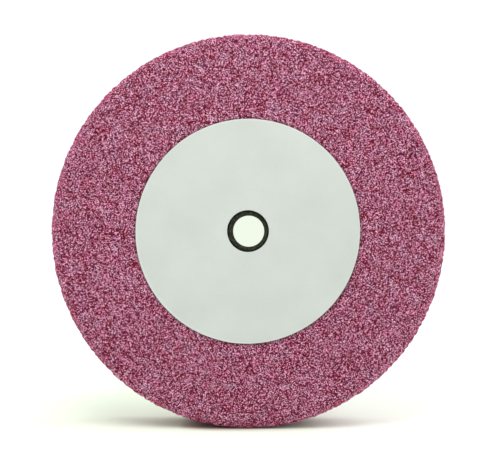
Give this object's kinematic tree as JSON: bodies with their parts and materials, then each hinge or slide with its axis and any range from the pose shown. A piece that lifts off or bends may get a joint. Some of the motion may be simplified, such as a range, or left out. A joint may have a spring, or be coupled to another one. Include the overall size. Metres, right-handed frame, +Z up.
{
  "type": "bench grinding wheel",
  "caption": "Straight vitrified abrasive wheel with plain paper blotters and a push-fit plastic bush that reduces its arbor hole.",
  "frame": {"origin": "centre of the wheel, mid-width on the arbor axis", "axes": "+Y along the arbor axis towards the back (inboard) side, so the front face looks along -Y; +Z up, the wheel standing on its rim; +X to the right seen from the front"},
  "size_m": [0.1524, 0.0264, 0.1524],
  "materials": {
    "abrasive": "matte",
    "blotter_paper": "matte",
    "bush_plastic": "matte"
  },
  "bodies": {
    "wheel": {"abrasive_wheel": "abrasive", "front_blotter": "blotter_paper", "back_blotter": "blotter_paper"},
    "bush": {"reducing_bush": "bush_plastic"}
  },
  "joints": [
    {"name": "bush_slide", "type": "slide", "parent": "wheel", "child": "bush", "axis": [0, -1, 0], "range_m": [-0.03, 0.03]}
  ]
}
